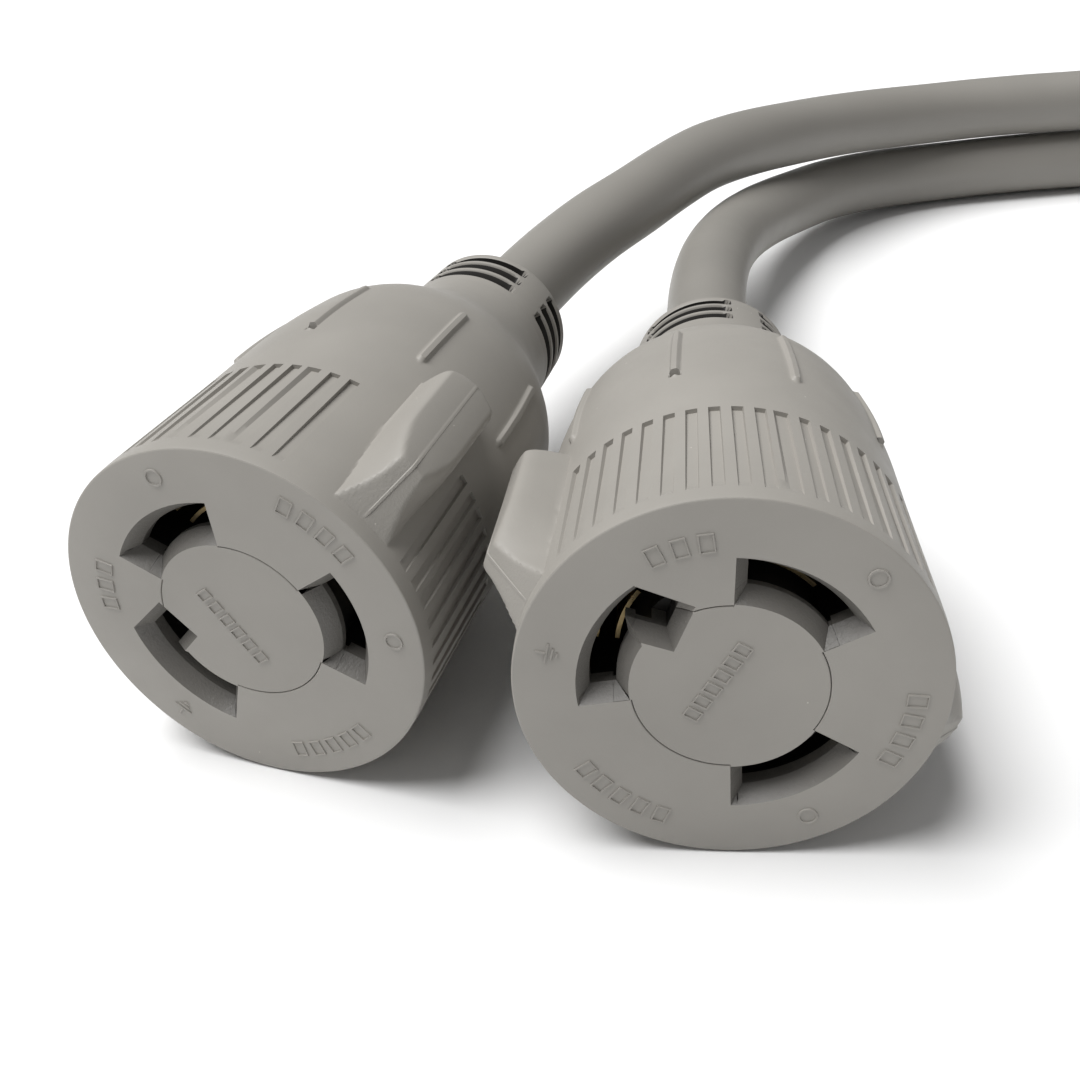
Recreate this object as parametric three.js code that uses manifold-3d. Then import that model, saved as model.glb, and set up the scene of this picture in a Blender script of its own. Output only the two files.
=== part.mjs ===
// Y cord adapter: one three-blade locking plug feeding two locking connectors through two heavy cords.
// Millimetres, +Z up. The connectors and the plug lie on the plane z = 0.
import * as THREE from 'three';
import { mergeVertices } from 'three/addons/utils/BufferGeometryUtils.js';
import Module from 'manifold-3d';

const wasm = await Module();
wasm.setup();

// ---- driving dimensions ----------------------------------------------------------------------
const GAP = 0.3;                    // clearance between pieces that touch

// moulded body of a connector or of the plug, as a solid of revolution about its axis
const FACE_R = 28.5;                // radius at the mating face
const BAND_LENGTH = 2.7;            // smooth band behind the face
const GRIP_END = 26.3;              // rear end of the grooved grip
const GRIP_TAPER = 0.9;             // drop in radius from the face to the grip's rear end
const GRIP_REAR_R = FACE_R - GRIP_TAPER;
const SHOULDER = 50;                // depth where the straight part starts to round over
const SHOULDER_DROP = 1.9;          // drop in radius from the face to the shoulder
const SHOULDER_R = FACE_R - SHOULDER_DROP;
const DOME_END = 86;                // depth where the dome meets the strain relief
const DOME_END_R = 15.1;
const BODY_SEGMENTS = 56;
const CAVITY_SEGMENTS = 20;

// grip grooves, one to each body segment
const GROOVE_DEPTH = 0.7;
const GROOVE_WIDTH = 1.7;

// finger ridges on both sides of the grip
const RIDGE_ANGLE = -23;            // first ridge, seen from the front, counter-clockwise
const RIDGE_HEIGHT = 5.9;           // above the face's radius
const RIDGE_TOP_R = FACE_R + RIDGE_HEIGHT;
const RIDGE_BASE_WIDTH = 13;
const RIDGE_TOP_WIDTH = 7;
const RIDGE_FRONT_RUN = 9;          // length of the sloping front
const RIDGE_LENGTH = 35;
const RIDGE_REAR_RUN = 6;

// mating face
const SLOT_INNER_R = 12.95;
const SLOT_WIDTH = 7.05;            // across the slot, from the nose outwards
const SLOT_OUTER_R = SLOT_INNER_R + SLOT_WIDTH;
const FACE_WALL = 4.6;              // thickness of the moulded front wall
const SLOTS = [
  { name: 'x', start: 28.2, end: 90 },
  { name: 'y', start: -87.5, end: -30 },
  { name: 'g', start: 128.6, end: 190 },
];
// the earth slot's foot: a pocket at the slot's first end that runs in towards the axis
const KEYWAY = [[-12.5, 15.7], [-13.6, 11.6], [-11.5, 7.0], [-7.3, 5.7], [-4.7, 12.65]];

// contact carrier
const CHAMBER_INNER_LEDGE = 0.25;   // the chambers' inner wall beyond the slots' inner edge
const CHAMBER_OUTER_MARGIN = 0.8;   // the chambers' outer wall beyond the slots' outer edge
const CHAMBER_INNER_R = SLOT_INNER_R + CHAMBER_INNER_LEDGE;
const CHAMBER_OUTER_R = SLOT_OUTER_R + CHAMBER_OUTER_MARGIN;
const CARRIER_WALL = 2.8;           // outside the chambers
const CARRIER_R = CHAMBER_OUTER_R + CARRIER_WALL;
const CARRIER_REAR = 30;
const CARRIER_FLOOR = 5;            // behind the chambers
const CHAMBER_REAR = CARRIER_REAR - CARRIER_FLOOR;
const CARRIER_SEGMENTS = 28;
const NOSE_SEGMENTS = 32;

// female contacts: a fixed leaf, a sprung leaf and a crimp barrel
const LEAF_THICKNESS = 0.6;
const LEAF_SETBACK = 4.4;           // of the leaves from the back of the face wall
const LEAF_FRONT = FACE_WALL + LEAF_SETBACK;
const LEAF_SPAN = 32;               // degrees of arc
const BLADE_GAP = 2.2;              // between the two leaves
const FIXED_LEAF_INSET = 1.65;      // of the fixed leaf's inner face from the slot's inner edge
const FIXED_LEAF_R = SLOT_INNER_R + FIXED_LEAF_INSET;
const FOOT_CLEARANCE = 2.4;         // from the foot plate that joins leaf and barrel to the chamber floor
const CONTACT_FOOT = CHAMBER_REAR - FOOT_CLEARANCE;
const FOOT_THICKNESS = 0.9;
const BARREL_R = 2.7;
const BARREL_REACH = 6;             // of the barrel behind the carrier
const BARREL_REAR = CARRIER_REAR + BARREL_REACH;
const BARREL_SIDES = 10;

// wiring inside the mouldings
const WIRE_R = 2.2;
const WIRE_START_GAP = 0.6;         // between a crimp barrel and its insulated core
const WIRE_FRONT = BARREL_REAR + WIRE_START_GAP;
const WIRE_SPREAD_END = 61;         // where the three cores have come together
const WIRE_PITCH_R = 3.6;
const JACKET_INNER_START = WIRE_SPREAD_END + 1;   // front end of the jacket inside the moulding

// cord and strain relief
const CORD_R = 8.2;
const CORD_SIDES = 12;
const CORE_BORE_CLEARANCE = 1.2;    // round the jacket in the rear of the moulding
const CORE_BORE_R = CORD_R + CORE_BORE_CLEARANCE;
const RELIEF_FRONT_R = 15.0;
const RELIEF_REAR_R = 14.5;
const RELIEF_END = 99;
const RELIEF_SEGMENTS = 20;
const RELIEF_CHAMFER = 1.2;
const RELIEF_SLOT_WIDTH = 2.0;
const RELIEF_SLOT_DEPTH = 2.6;
const RELIEF_ROWS = 3;
const RELIEF_ROW_PITCH = 3.6;
const RELIEF_LAST_ROW = 3.5;        // from the last row's front edge to the end of the sleeve
const RELIEF_SLOT_SPAN = 66;        // degrees of arc
const RELIEF_SLOT_SIDES = [45, 135, 225, 315];

// male plug
const BLADE_THICKNESS = 1.8;
const BLADE_LENGTH = 18;
const BLADE_SPAN = 40;
const BLADE_ROOT = 20;              // depth of the blade inside the plug
const EARTH_FOOT = 5;               // length of the earth blade's foot, towards the axis
const EARTH_FOOT_SETBACK = 2;       // of the foot from the plug's face
const PLUG_CORD_PITCH = 24.4;       // distance between the two cords where they enter the plug
const PLUG_RELIEF_R = 11.6;
const PLUG_RELIEF_END = 108;
const PLUG_REAR_R = 25.2;
const PLUG_REAR_CHAMFER = 2;

// layout: centre of each mating face, and how it is turned
const CONNECTOR_A = { x: -206.2, y: -123.7, z: FACE_R, heading: -21.9, tilt: -1.8, roll: 65.9 };
const CONNECTOR_B = { x: -139.7, y: -145.3, z: FACE_R + 0.06, heading: -6.5, tilt: 1.35, roll: -1 };
const PLUG = { x: 214.6, y: 117, z: FACE_R, heading: 90, tilt: 0, roll: 0 };

// cord routes: hand-set points between the strain reliefs of the connectors and of the plug
const ROUTE_A = [
  [-169.18, -31.61, 31.62], [-163.3, -17.3, 32.1], [-156.1, -3.3, 32.8], [-146.7, 11.8, 33.6],
  [-136.9, 25.6, 34.2], [-126.9, 40.4, 34.6], [-115.8, 55.8, 34.2], [-102.3, 70.2, 32.8],
  [-86.9, 84.5, 30.5], [-71, 97.2, 28], [-53.5, 106.9, 26.2], [-36, 112.6, 25.3], [-17, 115.3, 25],
  [3, 116.3, 25.1], [22, 116.7, 26.4], [40, 116.9, 29.6], [58, 117, 34], [75, 117, 38],
  [90, 117, 40.2], [106.3, 117, 40.7],
];
const ROUTE_B = [
  [-128.46, -46.67, 26.22], [-126.9, -31, 25.9], [-125.1, -16, 25.4], [-122.4, 0.5, 24.4],
  [-118.1, 18.5, 22.8], [-111.7, 37, 20.4], [-103, 55.5, 17.4], [-91, 75.5, 13.8], [-77, 92.6, 11],
  [-61.5, 103.7, 9.2], [-45, 109.7, 8.4], [-27, 112.6, 8.3], [-8, 114.2, 8.3], [12, 115.2, 8.4],
  [30, 116, 9.4], [47, 116.6, 11.1], [62, 117, 13.2], [76, 117, 15.1], [90, 117, 16.1],
  [106.3, 117, 16.3],
];

// ---- geometry helpers ------------------------------------------------------------------------
const radians = THREE.MathUtils.degToRad;

function solidOf(geometry) {
  geometry.deleteAttribute('uv');
  geometry.deleteAttribute('normal');
  const merged = mergeVertices(geometry, 1e-4);
  const index = merged.index.array;
  const corners = [];
  for (let i = 0; i < index.length; i += 3) {
    const [a, b, c] = [index[i], index[i + 1], index[i + 2]];
    if (a !== b && b !== c && c !== a) corners.push(a, b, c);
  }
  const mesh = new wasm.Mesh({
    numProp: 3,
    vertProperties: new Float32Array(merged.attributes.position.array),
    triVerts: new Uint32Array(corners),
  });
  return new wasm.Manifold(mesh);
}

function geometryOf(solid) {
  const mesh = solid.getMesh();
  const geometry = new THREE.BufferGeometry();
  geometry.setAttribute('position', new THREE.BufferAttribute(new Float32Array(mesh.vertProperties), 3));
  geometry.setIndex(new THREE.BufferAttribute(new Uint32Array(mesh.triVerts), 1));
  geometry.computeVertexNormals();
  return geometry;
}

// Solid of revolution about Z. The profile holds [radius, z] pairs from the rear to the front.
function turned(profile, segments) {
  const points = profile.map(([r, z]) => new THREE.Vector2(r, z));
  const geometry = new THREE.LatheGeometry(points, segments);
  geometry.rotateX(Math.PI / 2);
  return solidOf(geometry);
}

// A tube or a disc about Z between two depths.
function ring(innerR, outerR, rear, front, segments) {
  if (innerR === 0) return turned([[0, -rear], [outerR, -rear], [outerR, -front], [0, -front]], segments);
  return turned([
    [innerR, -rear], [outerR, -rear], [outerR, -front], [innerR, -front], [innerR, -rear],
  ], segments);
}

function extruded(shape, rear, front, curveSegments) {
  const geometry = new THREE.ExtrudeGeometry(shape, { depth: rear - front, bevelEnabled: false, curveSegments });
  geometry.translate(0, 0, -rear);
  return solidOf(geometry);
}

// A piece of a ring between two angles in degrees.
function sector(innerR, outerR, start, end, rear, front, curveSegments = 6) {
  const shape = new THREE.Shape();
  shape.absarc(0, 0, outerR, radians(start), radians(end), false);
  shape.absarc(0, 0, innerR, radians(end), radians(start), true);
  shape.closePath();
  return extruded(shape, rear, front, curveSegments);
}

function boxAt(width, height, length, x, y, z, angle = 0) {
  const geometry = new THREE.BoxGeometry(width, height, length);
  geometry.translate(x, y, z);
  geometry.rotateZ(radians(angle));
  return solidOf(geometry);
}

function tube(points, radius, sides, steps) {
  const curve = new THREE.CatmullRomCurve3(points.map((p) => new THREE.Vector3(...p)), false, 'centripetal');
  const shape = new THREE.Shape();
  for (let i = 0; i < sides; i += 1) {
    const angle = (i * 2 * Math.PI) / sides;
    const place = i === 0 ? 'moveTo' : 'lineTo';
    shape[place](radius * Math.cos(angle), radius * Math.sin(angle));
  }
  shape.closePath();
  return solidOf(new THREE.ExtrudeGeometry(shape, { steps, bevelEnabled: false, extrudePath: curve }));
}

function polar(radius, angle) {
  return [radius * Math.cos(radians(angle)), radius * Math.sin(radians(angle))];
}

// ---- materials -------------------------------------------------------------------------------
const moulding = new THREE.MeshStandardMaterial({ color: 0x9d9a93, roughness: 0.5, metalness: 0 });
const carrierPlastic = new THREE.MeshStandardMaterial({ color: 0x918e87, roughness: 0.55, metalness: 0 });
const jacket = new THREE.MeshStandardMaterial({ color: 0x85827b, roughness: 0.45, metalness: 0 });
const brass = new THREE.MeshStandardMaterial({ color: 0xc9a14a, roughness: 0.3, metalness: 1 });
const wireColours = { x: 0x1c1c1c, y: 0xe9e7e2, g: 0x2c7a3c };

function named(name, solid, material) {
  const mesh = new THREE.Mesh(geometryOf(solid), material);
  mesh.name = name;
  return mesh;
}

// ---- moulded body ----------------------------------------------------------------------------
// The dome's outline as shares of its length and of its drop from shoulder to strain relief.
const DOME_SHARES = [[0.3, 0.16], [0.53, 0.49], [0.81, 0.89], [1, 1]];

function domeOutline() {
  const length = DOME_END - SHOULDER;
  const drop = SHOULDER_R - DOME_END_R;
  const points = DOME_SHARES.map(([along, down]) => [SHOULDER_R - drop * down, -(SHOULDER + length * along)]);
  return [...points.reverse(), [SHOULDER_R, -SHOULDER]];
}

function bodyOuter() {
  return turned([
    [0, -DOME_END], ...domeOutline(), [GRIP_REAR_R, -GRIP_END], [FACE_R, -BAND_LENGTH], [FACE_R, 0], [0, 0],
  ], BODY_SEGMENTS);
}

// The wedge-shaped cutters of all grooves, skipping those under the finger ridges.
function grooveCutters() {
  const pitch = 360 / BODY_SEGMENTS;
  const length = GRIP_END - BAND_LENGTH;
  const taper = Math.atan2(FACE_R - GRIP_REAR_R, length);
  const ridgeHalf = THREE.MathUtils.radToDeg(Math.atan2(RIDGE_BASE_WIDTH / 2 + GROOVE_WIDTH / 2, FACE_R));
  const height = 3;
  const cutters = [];
  for (let i = 0; i < BODY_SEGMENTS; i += 1) {
    const angle = (i + 0.5) * pitch;
    const offset = Math.abs(((angle - RIDGE_ANGLE + 90) % 180 + 180) % 180 - 90);
    if (offset > ridgeHalf) {
      const cutter = new THREE.BoxGeometry(height, GROOVE_WIDTH, length);
      cutter.translate(height / 2 - GROOVE_DEPTH, 0, 0);
      cutter.rotateY(taper);
      cutter.translate((FACE_R + GRIP_REAR_R) / 2, 0, -(BAND_LENGTH + GRIP_END) / 2);
      cutter.rotateZ(radians(angle));
      cutters.push(solidOf(cutter));
    }
  }
  return wasm.Manifold.compose(cutters);
}

// A finger ridge: a tapering bar with a long sloping front and a short sloping rear.
function ridge(angle) {
  const rootR = GRIP_REAR_R - 3;
  const side = new THREE.Shape();
  side.moveTo(rootR, BAND_LENGTH);
  side.lineTo(FACE_R - 0.2, BAND_LENGTH);
  side.lineTo(RIDGE_TOP_R, BAND_LENGTH + RIDGE_FRONT_RUN);
  side.lineTo(RIDGE_TOP_R, BAND_LENGTH + RIDGE_LENGTH - RIDGE_REAR_RUN);
  side.lineTo(rootR, BAND_LENGTH + RIDGE_LENGTH);
  side.closePath();
  const along = new THREE.ExtrudeGeometry(side, { depth: RIDGE_BASE_WIDTH, bevelEnabled: false });
  along.translate(0, 0, -RIDGE_BASE_WIDTH / 2);
  along.rotateX(-Math.PI / 2);
  const across = new THREE.Shape();
  across.moveTo(rootR - 1, -RIDGE_BASE_WIDTH / 2);
  across.lineTo(FACE_R, -RIDGE_BASE_WIDTH / 2);
  across.lineTo(RIDGE_TOP_R + 0.1, -RIDGE_TOP_WIDTH / 2);
  across.lineTo(RIDGE_TOP_R + 0.1, RIDGE_TOP_WIDTH / 2);
  across.lineTo(FACE_R, RIDGE_BASE_WIDTH / 2);
  across.lineTo(rootR - 1, RIDGE_BASE_WIDTH / 2);
  across.closePath();
  const section = extruded(across, BAND_LENGTH + RIDGE_LENGTH + 1, BAND_LENGTH - 1, 1);
  return solidOf(along).intersect(section).rotate([0, 0, angle]);
}

function keyway() {
  const shape = new THREE.Shape(KEYWAY.map(([x, y]) => new THREE.Vector2(x, y)));
  return extruded(shape, CHAMBER_REAR, -1, 1);
}

function cavity() {
  const rearR = CORE_BORE_R;
  return turned([
    [0, -DOME_END - 1], [rearR, -DOME_END - 1], [rearR, -WIRE_SPREAD_END], [CARRIER_R - 2, -CARRIER_REAR - 8],
    [CARRIER_R + GAP, -CARRIER_REAR - GAP], [CARRIER_R + GAP, -FACE_WALL], [0, -FACE_WALL],
  ], CAVITY_SEGMENTS);
}

function mouldedBody() {
  let body = bodyOuter().subtract(grooveCutters());
  body = body.add(ridge(RIDGE_ANGLE)).add(ridge(RIDGE_ANGLE + 180));
  return body.subtract(cavity());
}

function connectorBody() {
  let body = mouldedBody().subtract(ring(0, SLOT_INNER_R, FACE_WALL + 1, -1, NOSE_SEGMENTS));
  for (const slot of SLOTS) {
    body = body.subtract(sector(SLOT_INNER_R - 1, SLOT_OUTER_R, slot.start, slot.end, FACE_WALL + 1, -1));
  }
  return body.subtract(keyway());
}

// ---- connector internals ---------------------------------------------------------------------
function middleOf(slot) {
  return (slot.start + slot.end) / 2;
}

const SPRUNG_LEAF_R = FIXED_LEAF_R + LEAF_THICKNESS + BLADE_GAP;
const CONTACT_MID_R = FIXED_LEAF_R + LEAF_THICKNESS + BLADE_GAP / 2;

function barrelHole(slot, clearance) {
  const [x, y] = polar(CONTACT_MID_R, middleOf(slot));
  return ring(0, BARREL_R + clearance, CARRIER_REAR + 1, CHAMBER_REAR - 1, BARREL_SIDES).translate([x, y, 0]);
}

function contactCarrier() {
  let carrier = ring(0, SLOT_INNER_R - GAP, FACE_WALL + 1, 0, NOSE_SEGMENTS);
  carrier = carrier.add(ring(0, CARRIER_R, CARRIER_REAR, FACE_WALL + GAP, CARRIER_SEGMENTS));
  for (const slot of SLOTS) {
    carrier = carrier.subtract(sector(
      CHAMBER_INNER_R, CHAMBER_OUTER_R, slot.start, slot.end, CHAMBER_REAR, FACE_WALL - 1,
    ));
    carrier = carrier.subtract(barrelHole(slot, GAP));
  }
  return carrier.subtract(keyway());
}

// Fixed leaf, foot plate and crimp barrel in one stamping.
function fixedContact(slot) {
  const middle = middleOf(slot);
  const [x, y] = polar(CONTACT_MID_R, middle);
  const half = LEAF_SPAN / 2;
  const leaf = sector(
    FIXED_LEAF_R, FIXED_LEAF_R + LEAF_THICKNESS, middle - half, middle + half, CONTACT_FOOT + 0.2, LEAF_FRONT, 4,
  );
  const foot = sector(
    FIXED_LEAF_R, SPRUNG_LEAF_R + LEAF_THICKNESS, middle - half, middle + half,
    CONTACT_FOOT + FOOT_THICKNESS, CONTACT_FOOT, 4,
  );
  const barrel = ring(0, BARREL_R, BARREL_REAR, CONTACT_FOOT + FOOT_THICKNESS / 2, BARREL_SIDES);
  return leaf.add(foot).add(barrel.translate([x, y, 0]));
}

function sprungLeaf(slot) {
  const middle = middleOf(slot);
  const half = LEAF_SPAN / 2;
  return sector(
    SPRUNG_LEAF_R, SPRUNG_LEAF_R + LEAF_THICKNESS, middle - half, middle + half,
    CONTACT_FOOT - GAP, LEAF_FRONT, 4,
  );
}

// An insulated core from a crimp barrel back to its place in the cord.
function wire(from, to, spreadEnd) {
  const [x0, y0, z0] = from;
  const [x1, y1] = to;
  const straight = 3;
  const along = (share, depth) => [x0 + (x1 - x0) * share, y0 + (y1 - y0) * share, z0 - depth];
  const reach = spreadEnd + z0;
  const points = [
    from, along(0, straight), along(0.2, reach * 0.3), along(0.7, reach * 0.58), along(0.97, reach * 0.8),
    along(1, reach - straight), [x1, y1, -spreadEnd],
  ];
  return tube(points, WIRE_R, 8, 10);
}

// Rows of arc slots, counted forward from the end of the sleeve.
function reliefSlots(outerR, end) {
  const cutters = [];
  for (let row = 0; row < RELIEF_ROWS; row += 1) {
    const depth = end - RELIEF_LAST_ROW - row * RELIEF_ROW_PITCH;
    for (const side of RELIEF_SLOT_SIDES) {
      const start = RIDGE_ANGLE + side - RELIEF_SLOT_SPAN / 2;
      cutters.push(sector(
        outerR - RELIEF_SLOT_DEPTH, outerR + 2, start, start + RELIEF_SLOT_SPAN,
        depth + RELIEF_SLOT_WIDTH, depth, 3,
      ));
    }
  }
  return wasm.Manifold.compose(cutters);
}

function strainRelief(frontR, rearR, front, end) {
  const sleeve = turned([
    [CORD_R + GAP, -end], [rearR - RELIEF_CHAMFER, -end], [rearR, -end + RELIEF_CHAMFER], [frontR, -front],
    [CORD_R + GAP, -front], [CORD_R + GAP, -end],
  ], RELIEF_SEGMENTS);
  return sleeve.subtract(reliefSlots(rearR, end));
}

function connector(prefix, place) {
  const inner = new THREE.Group();
  inner.add(named(`${prefix}_moulded_body`, connectorBody(), moulding));
  inner.add(named(`${prefix}_contact_carrier`, contactCarrier(), carrierPlastic));
  SLOTS.forEach((slot, i) => {
    const start = polar(CONTACT_MID_R, middleOf(slot));
    const end = polar(WIRE_PITCH_R, middleOf(slot));
    const insulation = new THREE.MeshStandardMaterial({ color: wireColours[slot.name], roughness: 0.5 });
    inner.add(named(`${prefix}_${slot.name}_contact`, fixedContact(slot), brass));
    inner.add(named(`${prefix}_${slot.name}_spring_leaf`, sprungLeaf(slot), brass));
    inner.add(named(
      `${prefix}_${slot.name}_wire`, wire([...start, -WIRE_FRONT], end, WIRE_SPREAD_END + 0.5), insulation,
    ));
  });
  inner.add(named(
    `${prefix}_cord_end`, ring(0, CORD_R, RELIEF_END, JACKET_INNER_START, CORD_SIDES * 2), jacket,
  ));
  inner.add(named(
    `${prefix}_strain_relief`, strainRelief(RELIEF_FRONT_R, RELIEF_REAR_R, DOME_END + GAP, RELIEF_END), moulding,
  ));
  return placed(inner, place);
}

function placed(inner, place) {
  inner.rotation.z = radians(place.roll);
  const tilted = new THREE.Group();
  tilted.rotation.x = radians(90 - place.tilt);
  tilted.add(inner);
  const outer = new THREE.Group();
  outer.position.set(place.x, place.y, place.z);
  outer.rotation.z = radians(place.heading);
  outer.add(tilted);
  return outer;
}

// ---- plug ------------------------------------------------------------------------------------
// Seen from its own front, the plug's blades are the mirror image of the connector's slots.
function bladeAngle(slot) {
  return -middleOf(slot);
}

const BLADE_R = FIXED_LEAF_R + LEAF_THICKNESS + (BLADE_GAP - BLADE_THICKNESS) / 2;

function blade(slot) {
  const middle = bladeAngle(slot);
  const half = BLADE_SPAN / 2;
  let solid = sector(
    BLADE_R, BLADE_R + BLADE_THICKNESS, middle - half, middle + half, BLADE_ROOT, -BLADE_LENGTH, 8,
  );
  if (slot.name === 'g') {
    const length = BLADE_LENGTH - EARTH_FOOT_SETBACK;
    const foot = boxAt(
      EARTH_FOOT, BLADE_THICKNESS, length, BLADE_R + 0.5 - EARTH_FOOT / 2, BLADE_THICKNESS / 2 - 0.1,
      length / 2 + EARTH_FOOT_SETBACK, middle + half,
    );
    solid = solid.add(foot);
  }
  const [x, y] = polar(CONTACT_MID_R, middle);
  const crimp = ring(0, BARREL_R, BARREL_REAR, BLADE_ROOT - 1, 12).translate([x, y, 0]);
  return solid.add(crimp);
}

function plugCarrier() {
  let carrier = ring(0, CARRIER_R, CARRIER_REAR, 0, CARRIER_SEGMENTS);
  for (const slot of SLOTS) {
    const middle = bladeAngle(slot);
    const half = BLADE_SPAN / 2 + 1.2;
    carrier = carrier.subtract(sector(
      BLADE_R - GAP, BLADE_R + BLADE_THICKNESS + GAP, middle - half, middle + half, BLADE_ROOT + GAP, -1,
    ));
    const [x, y] = polar(CONTACT_MID_R, middle);
    carrier = carrier.subtract(
      ring(0, BARREL_R + GAP, CARRIER_REAR + 1, BLADE_ROOT - 2, 12).translate([x, y, 0]),
    );
  }
  return carrier;
}

// The plug's rear is a blunt block, flat behind, that both strain reliefs stand on.
function plugBody() {
  let body = turned([
    [0, -DOME_END], [PLUG_REAR_R - PLUG_REAR_CHAMFER, -DOME_END], [PLUG_REAR_R, -DOME_END + PLUG_REAR_CHAMFER],
    [SHOULDER_R, -SHOULDER], [GRIP_REAR_R, -GRIP_END], [FACE_R, -BAND_LENGTH], [FACE_R, 0], [0, 0],
  ], BODY_SEGMENTS);
  body = body.subtract(grooveCutters()).add(ridge(RIDGE_ANGLE)).add(ridge(RIDGE_ANGLE + 180));
  body = body.subtract(turned([
    [0, -JACKET_INNER_START], [20, -JACKET_INNER_START], [CARRIER_R + GAP, -CARRIER_REAR - 6],
    [CARRIER_R + GAP, 1], [0, 1],
  ], CAVITY_SEGMENTS));
  for (const side of [-1, 1]) {
    const bore = ring(0, CORD_R + GAP, DOME_END + 1, JACKET_INNER_START - 1, 24);
    body = body.subtract(bore.translate([0, side * PLUG_CORD_PITCH / 2, 0]));
  }
  return body;
}

function plug(place) {
  const inner = new THREE.Group();
  inner.add(named('plug_moulded_body', plugBody(), moulding));
  inner.add(named('plug_blade_carrier', plugCarrier(), carrierPlastic));
  for (const slot of SLOTS) {
    inner.add(named(`plug_${slot.name}_blade`, blade(slot), brass));
  }
  const levels = [{ name: 'upper', side: 1 }, { name: 'lower', side: -1 }];
  for (const level of levels) {
    const y = level.side * PLUG_CORD_PITCH / 2;
    const end = ring(0, CORD_R, PLUG_RELIEF_END, JACKET_INNER_START, CORD_SIDES * 2).translate([0, y, 0]);
    inner.add(named(`plug_${level.name}_cord_end`, end, jacket));
    const relief = strainRelief(PLUG_RELIEF_R + 0.3, PLUG_RELIEF_R, DOME_END + GAP, PLUG_RELIEF_END);
    inner.add(named(`plug_${level.name}_strain_relief`, relief.translate([0, y, 0]), moulding));
  }
  return placed(inner, place);
}

// ---- assembly --------------------------------------------------------------------------------
const group = new THREE.Group();
group.add(connector('connector_a', CONNECTOR_A));
group.add(connector('connector_b', CONNECTOR_B));
group.add(plug(PLUG));
group.add(named('cord_a', tube(ROUTE_A, CORD_R, CORD_SIDES, 20), jacket));
group.add(named('cord_b', tube(ROUTE_B, CORD_R, CORD_SIDES, 20), jacket));

export default group;
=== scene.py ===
"""Looks of a Y cord adapter: two moulded locking connectors, two heavy cords and one locking plug.

Sizes are in millimetres in each moulding's own frame and are scaled to metres when a piece is placed.
In that frame the mating face is the plane z = 0, depth runs towards -z, and angles turn
counter-clockwise as seen from in front of the face.
"""

import math

import bmesh
import bpy
from mathutils import Matrix, Vector
from mathutils.geometry import tessellate_polygon


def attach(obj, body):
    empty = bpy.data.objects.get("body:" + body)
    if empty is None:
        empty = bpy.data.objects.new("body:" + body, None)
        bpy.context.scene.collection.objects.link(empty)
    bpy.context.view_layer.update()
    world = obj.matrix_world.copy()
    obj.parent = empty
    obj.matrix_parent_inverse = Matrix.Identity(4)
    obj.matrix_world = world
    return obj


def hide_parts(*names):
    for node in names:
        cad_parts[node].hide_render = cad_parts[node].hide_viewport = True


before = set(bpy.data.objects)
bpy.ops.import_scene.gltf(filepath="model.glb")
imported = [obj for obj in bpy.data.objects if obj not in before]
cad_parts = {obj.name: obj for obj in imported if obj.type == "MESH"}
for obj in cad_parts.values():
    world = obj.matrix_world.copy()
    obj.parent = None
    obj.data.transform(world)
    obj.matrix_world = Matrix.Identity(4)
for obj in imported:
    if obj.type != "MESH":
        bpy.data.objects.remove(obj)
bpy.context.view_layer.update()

MM = 0.001

# ---- camera ------------------------------------------------------------------------------------
CAMERA_PLACE = (-0.163, -0.284, 0.1423)
CAMERA_PITCH = 32.73  # degrees below the horizon
CAMERA_ROLL = -3.51
CAMERA_LENS = 46
SENSOR = 36

# ---- layout: the same places as the CAD part ---------------------------------------------------
CONNECTOR_A = {"place": (-206.2, -123.7, 28.5), "heading": -21.9, "tilt": -1.8, "roll": 65.9}
CONNECTOR_B = {"place": (-139.7, -145.3, 28.56), "heading": -6.5, "tilt": 1.35, "roll": -1}
PLUG = {"place": (214.6, 117, 28.5), "heading": 90, "tilt": 0, "roll": 0}

CORD_R = 8.2
ROUTE_A = [
    (-169.18, -31.61, 31.62), (-163.3, -17.3, 32.1), (-156.1, -3.3, 32.8), (-146.7, 11.8, 33.6),
    (-136.9, 25.6, 34.2), (-126.9, 40.4, 34.6), (-115.8, 55.8, 34.2), (-102.3, 70.2, 32.8),
    (-86.9, 84.5, 30.5), (-71, 97.2, 28), (-53.5, 106.9, 26.2), (-36, 112.6, 25.3), (-17, 115.3, 25),
    (3, 116.3, 25.1), (22, 116.7, 26.4), (40, 116.9, 29.6), (58, 117, 34), (75, 117, 38),
    (90, 117, 40.2), (106.3, 117, 40.7),
]
ROUTE_B = [
    (-128.46, -46.67, 26.22), (-126.9, -31, 25.9), (-125.1, -16, 25.4), (-122.4, 0.5, 24.4),
    (-118.1, 18.5, 22.8), (-111.7, 37, 20.4), (-103, 55.5, 17.4), (-91, 75.5, 13.8), (-77, 92.6, 11),
    (-61.5, 103.7, 9.2), (-45, 109.7, 8.4), (-27, 112.6, 8.3), (-8, 114.2, 8.3), (12, 115.2, 8.4),
    (30, 116, 9.4), (47, 116.6, 11.1), (62, 117, 13.2), (76, 117, 15.1), (90, 117, 16.1),
    (106.3, 117, 16.3),
]

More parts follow.
